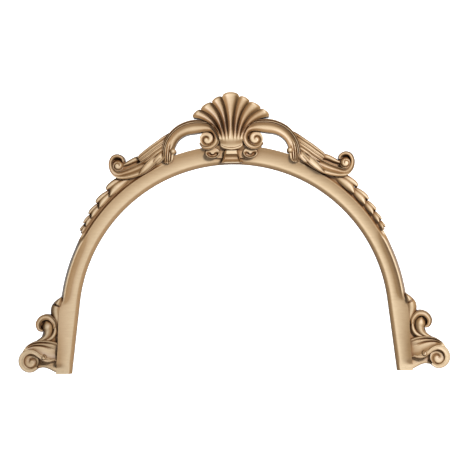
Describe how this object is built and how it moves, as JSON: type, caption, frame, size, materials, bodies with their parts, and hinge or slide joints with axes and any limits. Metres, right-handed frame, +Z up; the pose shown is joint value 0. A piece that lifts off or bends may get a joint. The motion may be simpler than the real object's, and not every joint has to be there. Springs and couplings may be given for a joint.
{
  "type": "arched frieze applique",
  "caption": "Flat-backed carved wood arch with a hollow moulding, a shell crest between pierced scrolls, acanthus leaves, husk drops down the outer edge and scrolled feet.",
  "frame": {"origin": "on the flat back, at the crown of the arch, within the moulding's width", "axes": "+X along the width to the viewer's right, +Y into the surface it is fixed to, +Z up toward the shell"},
  "size_m": [0.7198, 0.034, 0.4685],
  "materials": {
    "wood": "bare carved light-brown wood, matt, darker in the hollows"
  },
  "bodies": {
    "root": {"arch_applique": "wood"}
  },
  "joints": []
}
